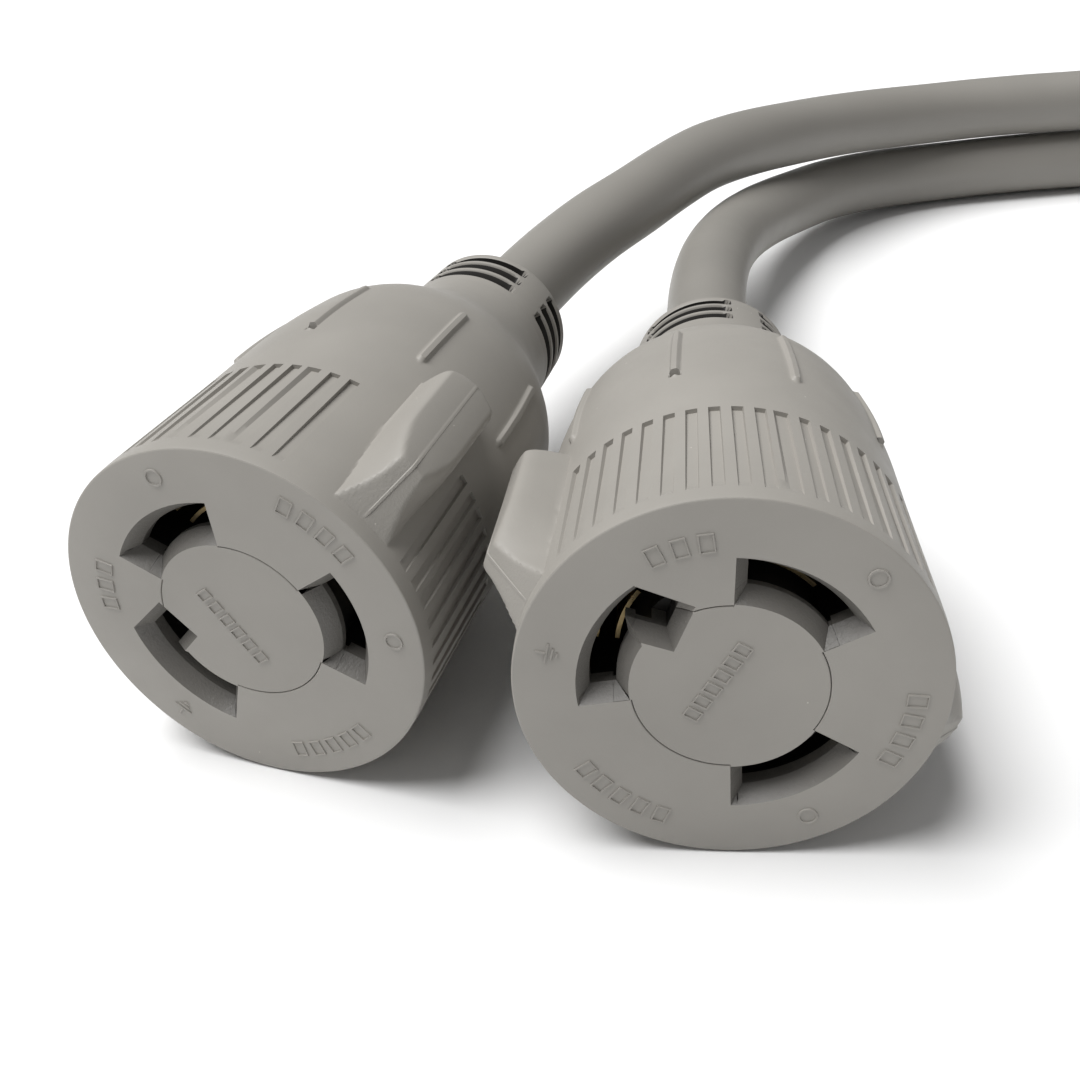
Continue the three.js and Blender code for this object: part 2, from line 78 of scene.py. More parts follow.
# ---- moulded body ------------------------------------------------------------------------------
# outline of a connector as (depth, radius), from the rim to the strain relief
CONNECTOR_OUTLINE = [
    (0.4, 28.45), (2.7, 28.45), (26.3, 27.6), (38, 27.3), (44, 27.1), (50, 26.6), (56, 25.8),
    (60, 25.1), (64, 23.7), (68, 21.6), (74, 18.4), (80, 16.2), (86, 15.1),
]
PLUG_OUTLINE = [
    (0.4, 28.45), (2.7, 28.45), (26.3, 27.6), (38, 27.3), (44, 27.0), (50, 26.6), (70, 25.8),
    (82, 25.2), (84.6, 24.8), (85.6, 24.1), (86, 23.2),
]
FACE_R = 28.45
FACE_RING_R = 21.5  # a grid ring on the face, between the slots and the rim
RIM_ROUND = 0.3
BODY_END = 86
FACE_WALL = 4.6
CLEARANCE = 0.3  # between a moulding and what sits in it
CARRIER_R = 23.6
CARRIER_REAR = 30
NOSE_R = 12.85
NOSE_BORE = 12.95
BORE_R = 9.4

GROOVES = 56
GROOVE_START = 2.9
GROOVE_END = 26.3
GROOVE_SHARE = 0.5  # of the pitch
GROOVE_FRONT_DEPTH = 0.28
GROOVE_REAR_DEPTH = 0.62

RIDGE_ANGLE = -23
RIDGE_START = 2.7
RIDGE_END = 37.7
RIDGE_HEIGHT = 6.6
RIDGE_FRONT_RUN = 7.4
RIDGE_HALF_FRONT = 4.9
RIDGE_HALF_REAR = 5.7
RIDGE_FLAT = 11  # degrees left ungrooved beside each ridge
SEAM_HEIGHT = 0.16

RIB_ANGLES = [-43, -6, 34, 69, 106, 145, 183, 220, 257]
RIB_START = 38.8
RIB_END = 58
RIB_HALF = 0.62
RIB_HEIGHT = 0.62
GATE_ANGLES = [34, 106]
GATE_DEPTH = 39.4

# ---- mating face -------------------------------------------------------------------------------
SLOT_INNER_R = 13.1
SLOT_OUTER_R = 20.0
SLOT_SPANS = {"x": (28.2, 90), "y": (-87.5, -30), "g": (128.6, 190)}
KEYWAY = [(-11.5, 7.0), (-7.3, 5.7), (-4.7, 12.65)]  # the earth slot's foot, inner corner first
FUNNEL_INSET = 1.65
FUNNEL_DEPTH = 2.6
INNER_WALL_R = 15.2  # the slots' inner walls are part of the carrier
CHAMBER_INNER_R = 13.2
CHAMBER_OUTER_R = 20.8
CHAMBER_REAR = 25
PAINTED_SHADE_DEPTH = 4.0  # depth behind which the carrier is painted near black, as painted shade in its chambers
CONTACT_MID_R = 16.3
BARREL_HOLE_R = 3.0

# ---- strain relief -----------------------------------------------------------------------------
RELIEF_R = 15.1
RELIEF_REAR_R = 14.5
RELIEF_END = 99
RELIEF_ROWS = [89.3, 92.9, 96.5]  # depth of each row's middle
RELIEF_SLOT_WIDTH = 2.3
RELIEF_SLOT_CUT = 5.6
RELIEF_CORE = 0.3  # least thickness left under a slot
RELIEF_SLOTS = 4
RELIEF_SLOT_SPAN = 66
PLUG_CORD_PITCH = 24.4
PLUG_RELIEF_R = 11.75
PLUG_RELIEF_END = 108
PLUG_RELIEF_ROWS = [98.3, 101.9, 105.5]


# ---- mesh helpers ------------------------------------------------------------------------------
def placement(spot):
    """Matrix from a moulding's own frame in millimetres to the row frame in metres."""
    turn = Matrix.Rotation(math.radians(spot["heading"]), 4, "Z")
    turn = turn @ Matrix.Rotation(math.radians(90 - spot["tilt"]), 4, "X")
    turn = turn @ Matrix.Rotation(math.radians(spot["roll"]), 4, "Z")
    return Matrix.Scale(MM, 4) @ Matrix.Translation(spot["place"]) @ turn


def make_object(name, verts, faces, material=None):
    mesh = bpy.data.meshes.new(name)
    mesh.from_pydata(verts, [], faces)
    mesh.update()
    obj = bpy.data.objects.new(name, mesh)
    bpy.context.scene.collection.objects.link(obj)
    if material:
        mesh.materials.append(material)
    return obj


def smooth(obj, angle=32):
    mesh = obj.data
    mesh.polygons.foreach_set("use_smooth", [True] * len(mesh.polygons))
    mesh.set_sharp_from_angle(angle=math.radians(angle))


def remove(obj):
    mesh = obj.data
    bpy.data.objects.remove(obj)
    bpy.data.meshes.remove(mesh)


def cut(obj, *cutters, operation="DIFFERENCE"):
    """Takes the cutters out of obj, or adds them to it."""
    for cutter in cutters:
        modifier = obj.modifiers.new("cut", "BOOLEAN")
        modifier.operation = operation
        modifier.solver = "MANIFOLD"
        modifier.object = cutter
    graph = bpy.context.evaluated_depsgraph_get()
    result = bpy.data.meshes.new_from_object(obj.evaluated_get(graph))
    old = obj.data
    obj.modifiers.clear()
    obj.data = result
    bpy.data.meshes.remove(old)
    for cutter in cutters:
        remove(cutter)


def join(target, *others):
    with bpy.context.temp_override(
        active_object=target, selected_editable_objects=[target, *others], selected_objects=[target, *others]
    ):
        bpy.ops.object.join()
    return target


def step(x, start, end):
    """0 before start, 1 after end, smooth between."""
    t = min(max((x - start) / (end - start), 0.0), 1.0)
    return t * t * (3 - 2 * t)


def soft_min(a, b, blend):
    h = max(blend - abs(a - b), 0.0) / blend
    return min(a, b) - h * h * blend / 4


def along(points, x):
    """Height at x of a smooth line through the points, which are in order of x."""
    if x <= points[0][0]:
        return points[0][1]
    for i in range(len(points) - 1):
        (x0, y0), (x1, y1) = points[i], points[i + 1]
        if x <= x1:
            before = points[i - 1] if i else points[0]
            after = points[i + 2] if i + 2 < len(points) else points[-1]
            m0 = (y1 - before[1]) / (x1 - before[0])
            m1 = (after[1] - y0) / (after[0] - x0)
            t, w = (x - x0) / (x1 - x0), x1 - x0
            return (
                (2 * t**3 - 3 * t**2 + 1) * y0 + (t**3 - 2 * t**2 + t) * w * m0
                + (3 * t**2 - 2 * t**3) * y1 + (t**3 - t**2) * w * m1
            )
    return points[-1][1]


def spread(start, end, gap):
    """Even values from start up to, not including, end, about gap apart."""
    count = max(1, round((end - start) / gap))
    return [start + (end - start) * i / count for i in range(count)]


def closed_grid(name, rings, material):
    """A closed body from rings of equal length. The last ring joins the first unless an end is a point."""
    verts, starts = [], []
    for ring in rings:
        starts.append((len(verts), len(ring)))
        verts += ring
    around = max(count for _, count in starts)
    faces = []
    pairs = list(zip(starts, starts[1:]))
    if starts[0][1] > 1 and starts[-1][1] > 1:
        pairs.append((starts[-1], starts[0]))
    for (a, size_a), (b, size_b) in pairs:
        for i in range(around):
            j = (i + 1) % around
            if size_a == 1:
                faces.append((a, b + j, b + i))
            elif size_b == 1:
                faces.append((a + i, a + j, b))
            else:
                faces.append((a + i, a + j, b + j, b + i))
    return make_object(name, verts, faces, material)


def circle(radius, z, angles):
    return [(radius * math.cos(math.radians(a)), radius * math.sin(math.radians(a)), z) for a in angles]


def turned(name, outline, sides, material):
    """Solid of revolution from (radius, z) pairs that run from the rear axis round to the front axis."""
    angles = [360 * i / sides for i in range(sides)]
    rings = [[(0, 0, z)] if radius == 0 else circle(radius, z, angles) for radius, z in outline]
    return closed_grid(name, rings, material)


def prism(name, levels, material):
    """Loft through outlines of equal length, given as (z, points) from the top down."""
    verts = [(x, y, z) for z, points in levels for x, y in points]
    count = len(levels[0][1])
    faces = []
    for level in range(len(levels) - 1):
        a, b = level * count, (level + 1) * count
        for i in range(count):
            j = (i + 1) % count
            faces.append((a + i, b + i, b + j, a + j))
    top = tessellate_polygon([[Vector((x, y, 0)) for x, y in levels[0][1]]])
    bottom = tessellate_polygon([[Vector((x, y, 0)) for x, y in levels[-1][1]]])
    faces += [tuple(triangle) for triangle in top]
    last = (len(levels) - 1) * count
    faces += [tuple(last + i for i in triangle[::-1]) for triangle in bottom]
    obj = make_object(name, verts, faces, material)
    return closed_normals(obj)


def closed_normals(obj):
    mesh = bmesh.new()
    mesh.from_mesh(obj.data)
    bmesh.ops.recalc_face_normals(mesh, faces=mesh.faces)
    mesh.to_mesh(obj.data)
    mesh.free()
    return obj


def arc(radius, start, end, steps):
    points = []
    for i in range(steps + 1):
        angle = math.radians(start + (end - start) * i / steps)
        points.append((radius * math.cos(angle), radius * math.sin(angle)))
    return points


def inset(points, distance):
    """A closed outline, counter-clockwise, drawn in by a distance."""
    drawn = []
    for i, point in enumerate(points):
        before, after = points[i - 1], points[(i + 1) % len(points)]
        normals = []
        for p, q in ((before, point), (point, after)):
            dx, dy = q[0] - p[0], q[1] - p[1]
            size = math.hypot(dx, dy)
            normals.append((-dy / size, dx / size))
        (ax, ay), (bx, by) = normals
        scale = distance / (1 + ax * bx + ay * by)
        drawn.append((point[0] + (ax + bx) * scale, point[1] + (ay + by) * scale))
    return drawn


# ---- materials ---------------------------------------------------------------------------------
class Nodes:
    """A few short calls that build a material's node tree."""

    def __init__(self, name):
        self.material = bpy.data.materials.new(name)
        self.material.use_nodes = True
        self.tree = self.material.node_tree
        self.shader = self.tree.nodes["Principled BSDF"]
        self.place = self.add("ShaderNodeTexCoord").outputs["Object"]

    def add(self, kind, **values):
        node = self.tree.nodes.new(kind)
        for key, value in values.items():
            if key in node.inputs:
                node.inputs[key].default_value = value
            else:
                setattr(node, key, value)
        return node

    def link(self, out, into):
        self.tree.links.new(out, into)

    def noise(self, size, detail=3.0, roughness=0.55):
        """Noise whose features are about size millimetres across."""
        node = self.add("ShaderNodeTexNoise", Scale=1 / (size * MM), Detail=detail, Roughness=roughness)
        self.link(self.place, node.inputs["Vector"])
        return node.outputs["Fac"]

    def remap(self, value, low, high, to_low, to_high):
        node = self.add("ShaderNodeMapRange")
        for key, number in zip(("From Min", "From Max", "To Min", "To Max"), (low, high, to_low, to_high)):
            node.inputs[key].default_value = number
        self.link(value, node.inputs["Value"])
        return node.outputs["Result"]

    def math(self, operation, a, b):
        node = self.add("ShaderNodeMath", operation=operation)
        for socket, value in zip(node.inputs, (a, b)):
            if isinstance(value, (int, float)):
                socket.default_value = value
            else:
                self.link(value, socket)
        return node.outputs["Value"]

    def mix(self, factor, a, b):
        node = self.add("ShaderNodeMix", data_type="RGBA")
        for socket, value in ((node.inputs[0], factor), (node.inputs[6], a), (node.inputs[7], b)):
            if isinstance(value, (int, float, tuple)):
                socket.default_value = value
            else:
                self.link(value, socket)
        return node.outputs[2]

    def specks(self, spacing, share, radius):
        """1 on sparse dots and 0 elsewhere."""
        node = self.add("ShaderNodeTexVoronoi", Scale=1 / (spacing * MM))
        self.link(self.place, node.inputs["Vector"])
        near = self.remap(node.outputs["Distance"], radius, radius * 0.55, 0, 1)
        split = self.add("ShaderNodeSeparateColor")
        self.link(node.outputs["Color"], split.inputs["Color"])
        return self.math("MULTIPLY", near, self.math("LESS_THAN", split.outputs[0], share))

    def bump(self, height, distance, strength=1.0, under=None):
        node = self.add("ShaderNodeBump", Strength=strength, Distance=distance * MM)
        self.link(height, node.inputs["Height"])
        if under:
            self.link(under, node.inputs["Normal"])
        return node.outputs["Normal"]

    def finish(self, colour=None, roughness=None, normal=None, **sockets):
        inputs = self.shader.inputs
        for key, out in (("Base Color", colour), ("Roughness", roughness), ("Normal", normal)):
            if out is not None:
                self.link(out, inputs[key])
        for key, value in sockets.items():
            inputs[key].default_value = value
        return self.material


def shade(colour, factor):
    return (colour[0] * factor, colour[1] * factor, colour[2] * factor, 1)


def moulded_vinyl(name, colour, grain, grain_size, roughness):
    """Satin moulded vinyl: cloudy tone, a fine grain, and a few specks of flash and dust."""
    n = Nodes(name)
    cloud = n.noise(38, 4)
    tone = n.mix(n.remap(cloud, 0.3, 0.7, 0, 1), shade(colour, 0.92), shade(colour, 1.06))
    dust = n.specks(2.6, 0.1, 0.06)
    tone = n.mix(n.math("MULTIPLY", dust, 0.7), tone, shade(colour, 2.1))
    fine = n.noise(grain_size, 4, 0.62)
    gloss = n.remap(n.math("ADD", n.noise(7, 3), n.math("MULTIPLY", fine, 0.5)), 0.5, 1.0,
                    roughness - 0.06, roughness + 0.08)
    normal = n.bump(n.noise(9, 2), 0.05, 0.35)
    normal = n.bump(fine, grain, 0.8, normal)
    normal = n.bump(dust, 0.05, 0.8, normal)
    return n.finish(tone, gloss, normal)


def cord_vinyl(name, colour):
    """Extruded jacket: smoother than the mouldings, with a slow unevenness and fine draw marks."""
    n = Nodes(name)
    cloud = n.noise(60, 3)
    tone = n.mix(n.remap(cloud, 0.3, 0.7, 0, 1), shade(colour, 0.93), shade(colour, 1.05))
    fine = n.noise(0.35, 3)
    gloss = n.remap(n.math("ADD", n.noise(16, 3), n.math("MULTIPLY", fine, 0.3)), 0.4, 0.9, 0.4, 0.52)
    normal = n.bump(n.noise(14, 2), 0.12, 0.4)
    normal = n.bump(fine, 0.012, 0.7, normal)
    return n.finish(tone, gloss, normal)


def stamped_metal(name, colour):
    """Rolled brass strip: fine rolling marks and a little tarnish."""
    n = Nodes(name)
    tarnish = n.noise(3.5, 4, 0.6)
    tone = n.mix(n.remap(tarnish, 0.45, 0.75, 0, 1), shade(colour, 1), shade(colour, 0.62))
    fine = n.noise(0.18, 3)
    gloss = n.remap(n.math("ADD", tarnish, n.math("MULTIPLY", fine, 0.4)), 0.4, 1.0, 0.22, 0.46)
    return n.finish(tone, gloss, n.bump(fine, 0.008, 0.6), Metallic=1.0)


def wire_vinyl(name, colour):
    n = Nodes(name)
    cloud = n.noise(6, 3)
    tone = n.mix(n.remap(cloud, 0.3, 0.7, 0, 1), shade(colour, 0.9), shade(colour, 1.08))
    gloss = n.remap(n.noise(2, 3), 0.3, 0.7, 0.36, 0.5)
    return n.finish(tone, gloss, n.bump(n.noise(0.3, 3), 0.01, 0.6))


BODY_COLOUR = (0.296, 0.281, 0.256)
CARRIER_COLOUR = (0.293, 0.278, 0.253)
# painted shade: near black, for the chambers deep in the carrier and the floors of the strain reliefs' slots
PAINTED_SHADE_COLOUR = (0.022, 0.02, 0.018)
JACKET_COLOUR = (0.235, 0.224, 0.204)
body_vinyl = moulded_vinyl("moulded_vinyl", BODY_COLOUR, 0.02, 0.32, 0.5)
grain_vinyl = moulded_vinyl("moulded_vinyl_grain", shade(BODY_COLOUR, 0.95)[:3], 0.09, 0.42, 0.58)
carrier_vinyl = moulded_vinyl("carrier_vinyl", CARRIER_COLOUR, 0.014, 0.3, 0.52)
# painted shade: the body's vinyl at half its tone, for the walls inside the slots
slot_wall_painted_shade_vinyl = moulded_vinyl("slot_wall_painted_shade_vinyl", shade(BODY_COLOUR, 0.5)[:3], 0.1, 0.45, 0.4)
# painted shade: near-black vinyl that stands in for the darkness of deep recesses
near_black_painted_shade_vinyl = moulded_vinyl("near_black_painted_shade_vinyl", PAINTED_SHADE_COLOUR, 0.014, 0.3, 0.62)
jacket_vinyl = cord_vinyl("cord_jacket_vinyl", JACKET_COLOUR)
# painted shade: the contacts' brass is darker than the blades' so that it stays dark inside the slots
contact_brass_painted_shade = stamped_metal("contact_brass_painted_shade", (0.6, 0.46, 0.24))
blade_metal = stamped_metal("blade_metal", (0.74, 0.56, 0.28))
wire_colours = {"x": (0.012, 0.012, 0.012), "y": (0.8, 0.79, 0.76), "g": (0.02, 0.18, 0.045)}
wire_finish = {key: wire_vinyl(f"wire_{key}_vinyl", colour) for key, colour in wire_colours.items()}


# ---- moulded bodies ----------------------------------------------------------------------------
def angle_between(a, b):
    return (a - b + 180) % 360 - 180


def ridge_height(angle, depth, radius):
    """Height of a finger ridge above the grip: hipped in front, rounded behind, with a mould seam."""
    best = 0.0
    for centre in (RIDGE_ANGLE, RIDGE_ANGLE + 180):
        across = radius * math.radians(angle_between(angle, centre))
        if abs(across) > RIDGE_HALF_REAR + 1 or not RIDGE_START < depth < RIDGE_END:
            continue
        back = step(depth, RIDGE_START + 2, RIDGE_START + 17)
        half = RIDGE_HALF_FRONT + (RIDGE_HALF_REAR - RIDGE_HALF_FRONT) * back
        flank = (half - abs(across)) * (1.38 + 1.9 * back)
        front = (depth - RIDGE_START) * RIDGE_HEIGHT / RIDGE_FRONT_RUN
        reach = RIDGE_END - depth
        rear = (reach - 0.1 * across * across) * 2.4
        top = RIDGE_HEIGHT - 0.015 * across * across - 0.02 * max(depth - 14, 0)
        height = soft_min(flank, top, 0.5 + 1.5 * back)
        height = soft_min(height, rear, 2.4)
        height = soft_min(height, front, 0.25)
        if abs(across) < 0.2 and height > 0.3:
            height += SEAM_HEIGHT * (1 - 0.7 * step(depth, RIDGE_START + 6, RIDGE_START + 12))
        best = max(best, height)
    return best


def groove_depth(angle, depth):
    pitch = 360 / GROOVES
    share = (angle / pitch) % 1
    if not (1 - GROOVE_SHARE) < share or not GROOVE_START < depth < GROOVE_END:
        return 0.0
    middle = (math.floor(angle / pitch) + 1 - GROOVE_SHARE / 2) * pitch
    half = math.degrees(RIDGE_HALF_REAR / FACE_R)
    for centre in (RIDGE_ANGLE, RIDGE_ANGLE + 180):
        offset = angle_between(middle, centre)
        if -half - 1.2 < offset < half + RIDGE_FLAT:
            return 0.0
    run = (depth - GROOVE_START) / (GROOVE_END - GROOVE_START)
    return (GROOVE_FRONT_DEPTH + (GROOVE_REAR_DEPTH - GROOVE_FRONT_DEPTH) * run) * step(run, 0, 0.05)


def rib_height(angle, depth, radius):
    height = 0.0
    for centre in RIB_ANGLES:
        across = abs(radius * math.radians(angle_between(angle, centre)))
        if across < 2:
            beyond = max(RIB_START + RIB_HALF - depth, depth - RIB_END + RIB_HALF, 0)
            distance = math.hypot(across, beyond)
            height = max(height, RIB_HEIGHT * step(RIB_HALF + 0.3 - distance, 0, 0.55))
    for centre in GATE_ANGLES:
        across = radius * math.radians(angle_between(angle, centre))
        distance = math.hypot(across / 1.1, (depth - GATE_DEPTH) / 0.75)
        height -= 2.4 * step(0.85 - distance, 0, 0.3)
    return height


def body_angles():
    """Angles of the grid's lines: at each groove's edges, and closer together by ridges and ribs."""
    pitch = 360 / GROOVES
    wall = 0.035
    shares = [0, 0.17, 1 - GROOVE_SHARE - wall, 1 - GROOVE_SHARE + 0.002, 1 - GROOVE_SHARE / 2, 1 - wall]
    edges = [(i + share) * pitch for i in range(GROOVES) for share in shares]
    extra = []
    for centre in (RIDGE_ANGLE, RIDGE_ANGLE + 180):
        extra += [centre - 0.42, centre - 0.3, centre, centre + 0.3, centre + 0.42]
        extra += spread(centre + 0.8, centre + 14, 0.6) + spread(centre - 14, centre - 0.7, 0.6)
    for centre in RIB_ANGLES:
        extra += spread(centre - 2.4, centre + 2.5, 0.4)
    return sorted(thinned(edges, extra))


def thinned(first, others, gap=0.1):
    """All of first, and those of the others that don't come within gap of one already kept."""
    kept = [angle % 360 for angle in first]
    for angle in others:
        if all(abs(angle_between(angle, near)) > gap for near in kept):
            kept.append(angle % 360)
    return kept


def body_depths():
    depths = [0.4, 1.2, 2.0, 2.7, 2.85] + spread(GROOVE_START + 0.05, 13, 0.7) + spread(13, 26.2, 1.3)
    depths += [GROOVE_END - 0.06, GROOVE_END + 0.02] + spread(27.2, 32, 1.2) + spread(32, 41, 0.45)
    depths += spread(41, 56.5, 1.8) + spread(56.5, 59, 0.4) + spread(59, BODY_END, 1.35)
    return depths


def body_skin(outline):
    """Rings of the outside, from the face's rim to the rear."""
    angles = body_angles()
    rings = []
    for lift in (0, 30, 60):
        turn = math.radians(lift)
        radius = FACE_R - RIM_ROUND * (1 - math.sin(turn))
        rings.append(circle(radius, -RIM_ROUND * (1 - math.cos(turn)), angles))
    for depth in body_depths():
        base = along(outline, depth)
        ring = []
        for angle in angles:
            radius = base - groove_depth(angle, depth)
            ridge = ridge_height(angle, depth, base)
            radius = max(radius, base + ridge) if ridge > 0 else radius
            radius += rib_height(angle, depth, base)
            turn = math.radians(angle)
            ring.append((radius * math.cos(turn), radius * math.sin(turn), -depth))
        rings.append(ring)
    return angles, rings


def connector_body(name):
    angles, skin = body_skin(CONNECTOR_OUTLINE)
    front = [
        circle(NOSE_BORE, -FACE_WALL, angles), circle(NOSE_BORE, -0.1, angles),
        circle(NOSE_BORE + 0.1, 0, angles), circle(FACE_RING_R, 0, angles),
    ]
    rear = [
        circle(RELIEF_R, -BODY_END, angles), circle(BORE_R, -BODY_END, angles), circle(BORE_R, -61, angles),
        circle(CARRIER_R - 2, -CARRIER_REAR - 8, angles),
        circle(CARRIER_R + CLEARANCE, -CARRIER_REAR - CLEARANCE, angles),
        circle(CARRIER_R + CLEARANCE, -FACE_WALL, angles),
    ]
    body = closed_grid(name, front + skin + rear, body_vinyl)
    body.data.materials.append(grain_vinyl)
    closed_normals(body)
    mark_grain(body)
    cutters = [slot_cutter(key) for key in SLOT_SPANS]
    for start, end in SLOT_SPANS.values():
        room = arc(INNER_WALL_R + 0.04, start, end, 14) + arc(NOSE_BORE - 0.4, end, start, 14)
        cutters.append(prism("room", [(1, room), (-FACE_WALL - 1, room)], grain_vinyl))
    cut(body, *cutters)
    body.data.materials.append(slot_wall_painted_shade_vinyl)
    # painted shade: the walls inside the slots get the darker slot vinyl
    for face in body.data.polygons:
        radius = math.hypot(face.center.x, face.center.y)
        if -FACE_WALL < face.center.z < -0.15 and NOSE_BORE + 0.05 < radius < SLOT_OUTER_R + 0.05:
            face.material_index = 2
    return body


def mark_grain(body):
    """The hipped fronts and the flanks of the finger ridges carry the coarser mould grain."""
    for face in body.data.polygons:
        x, y, z = face.center
        radius, angle = math.hypot(x, y), math.degrees(math.atan2(y, x))
        for centre in (RIDGE_ANGLE, RIDGE_ANGLE + 180):
            offset = abs(angle_between(angle, centre))
            on_front = -RIDGE_START - RIDGE_FRONT_RUN < z < -RIDGE_START and offset < 11
            if on_front and radius > FACE_R + 0.05 and face.normal.z > 0.35:
                face.material_index = 1


def slot_outline(key):
    start, end = SLOT_SPANS[key]
    outer = arc(SLOT_OUTER_R, start, end, 18)
    if key == "g":
        return outer + arc(SLOT_INNER_R, end, 150.5, 14) + KEYWAY
    return outer + arc(SLOT_INNER_R, end, start, 18)


def slot_cutter(key):
    outline = slot_outline(key)
    narrow = inset(outline, FUNNEL_INSET)
    levels = [(1, outline), (0, outline), (-FUNNEL_DEPTH, narrow), (-FACE_WALL - 1.4, narrow)]
    return prism(f"cutter_{key}", levels, grain_vinyl)


def middle_of(key):
    return sum(SLOT_SPANS[key]) / 2


def contact_carrier(name):
    """The insert that holds the contacts. Its nose shows as the disc in the middle of the face."""
    edge = 0.12
    carrier = turned(name, [
        (0, -CARRIER_REAR), (CARRIER_R, -CARRIER_REAR),
        (CARRIER_R, -FACE_WALL - CLEARANCE), (NOSE_R, -FACE_WALL - CLEARANCE),
        (NOSE_R, -edge), (NOSE_R - edge, 0), (0, 0),
    ], 128, carrier_vinyl)
    closed_normals(carrier)
    walls = []
    for start, end in SLOT_SPANS.values():
        wall = arc(INNER_WALL_R, start + 0.15, end - 0.15, 14) + arc(NOSE_R - 1, end - 0.15, start + 0.15, 14)
        walls.append(prism("wall", [(0, wall), (-FACE_WALL - 1, wall)], carrier_vinyl))
    cut(carrier, *walls, operation="UNION")
    cutters = []
    for key, (start, end) in SLOT_SPANS.items():
        chamber = arc(CHAMBER_OUTER_R, start, end, 14) + arc(CHAMBER_INNER_R, end, start, 14)
        cutters.append(prism("chamber", [(-FACE_WALL + 1, chamber), (-CHAMBER_REAR, chamber)], carrier_vinyl))
        turn = math.radians(middle_of(key))
        x, y = CONTACT_MID_R * math.cos(turn), CONTACT_MID_R * math.sin(turn)
        hole = [(x + px, y + py) for px, py in arc(BARREL_HOLE_R, 0, 345, 23)]
        cutters.append(prism("hole", [(-CHAMBER_REAR + 1, hole), (-CARRIER_REAR - 1, hole)], carrier_vinyl))
    cutters += [slot_cutter(key) for key in SLOT_SPANS]
    cut(carrier, *cutters)
    carrier.data.materials.clear()
    carrier.data.materials.append(carrier_vinyl)
    carrier.data.materials.append(slot_wall_painted_shade_vinyl)
    carrier.data.materials.append(near_black_painted_shade_vinyl)
    # painted shade: below the face the walls get the darker slot vinyl, and behind the pocket depth the
    # near-black vinyl
    for face in carrier.data.polygons:
        face.material_index = (face.center.z < -0.15) + (face.center.z < -PAINTED_SHADE_DEPTH)
    return carrier


# ---- raised marks on the face ------------------------------------------------------------------
MARK_WIDTH = 0.42
MARK_HEIGHT = 0.2


def stroke(points, closed=False):
    """A low raised line through points on the face."""
    loop = points + points[:1] if closed else points
    verts, faces = [], []
    for i, (x, y) in enumerate(loop):
        before = loop[i - 1] if i else (loop[-2] if closed else loop[i])
        after = loop[i + 1] if i + 1 < len(loop) else (loop[1] if closed else loop[i])
        dx, dy = after[0] - before[0], after[1] - before[1]
        size = math.hypot(dx, dy)
        nx, ny = -dy / size, dx / size
        for side, z in ((-1, -0.1), (-0.55, MARK_HEIGHT), (0.55, MARK_HEIGHT), (1, -0.1)):
            verts.append((x + nx * side * MARK_WIDTH / 2, y + ny * side * MARK_WIDTH / 2, z))
    for i in range(len(loop) - 1):
        a, b = 4 * i, 4 * (i + 1)
        for j in range(4):
            k = (j + 1) % 4
            faces.append((a + j, b + j, b + k, a + k))
    faces += [(0, 1, 2, 3), tuple(len(verts) - 4 + j for j in (3, 2, 1, 0))]
    obj = make_object("stroke", verts, faces, body_vinyl)
    return closed_normals(obj)


def mark_lines():
    """Plain pictograms: an earth sign, a ring and an empty block. Units are mark sizes."""
    return {
        "earth": [
            [(0, 0.5), (0, 0)], [(-0.5, 0), (0.5, 0)], [(-0.3, -0.24), (0.3, -0.24)],
            [(-0.12, -0.46), (0.12, -0.46)],
        ],
        "ring": [arc(0.42, 0, 330, 11)],
        "block": [[(-0.32, -0.45), (0.32, -0.45), (0.32, 0.45), (-0.32, 0.45)]],
    }


MARKS = [  # radius, angle of the row's middle, size, pictograms along it
    (24.2, 168, 3.0, ["earth"]),
    (24.5, 45, 3.0, ["ring"]),
    (24.3, -62, 3.0, ["ring"]),
    (22.3, 108, 2.9, ["block"] * 3),
    (24.0, -15, 2.9, ["block"] * 4),
    (23.6, -127, 2.8, ["block"] * 5),
]
MARK_PITCH = 1.15  # of a row along a circle, in mark sizes
CENTRE_BLOCKS = 6
CENTRE_SIZE = 2.3
CENTRE_PITCH = 1.05
CENTRE_OFFSET = 1.89  # of the straight row's middle from the axis
CENTRE_ANGLE = 150
CENTRE_LEAN = 60


def pictogram(key, size, centre, right, up):
    """Strokes of one pictogram about its centre, along its own right and up directions."""
    drawn = []
    for line in mark_lines()[key]:
        points = [
            (centre[0] + size * (x * right[0] + y * up[0]), centre[1] + size * (x * right[1] + y * up[1]))
            for x, y in line
        ]
        drawn.append(stroke(points, key in ("ring", "block")))
    return drawn


def marks(rows):
    """Strokes of rows of pictograms, each row set along the circle it stands on."""
    drawn = []
    for radius, angle, size, names in rows:
        gap = math.degrees(size * MARK_PITCH / radius)
        for i, key in enumerate(names):
            at = math.radians(angle + (len(names) - 1) * gap / 2 - i * gap)
            up, right = (math.cos(at), math.sin(at)), (math.sin(at), -math.cos(at))
            drawn += pictogram(key, size, (radius * math.cos(at), radius * math.sin(at)), right, up)
    return drawn


def straight_marks():
    """Strokes of the straight row of blocks across the nose."""
    at, lean = math.radians(CENTRE_ANGLE), math.radians(CENTRE_LEAN)
    right, up = (math.cos(lean), math.sin(lean)), (-math.sin(lean), math.cos(lean))
    drawn = []
    for i in range(CENTRE_BLOCKS):
        shift = (i - (CENTRE_BLOCKS - 1) / 2) * CENTRE_SIZE * CENTRE_PITCH
        cx = CENTRE_OFFSET * math.cos(at) + shift * right[0]
        cy = CENTRE_OFFSET * math.sin(at) + shift * right[1]
        drawn += pictogram("block", CENTRE_SIZE, (cx, cy), right, up)
    return drawn


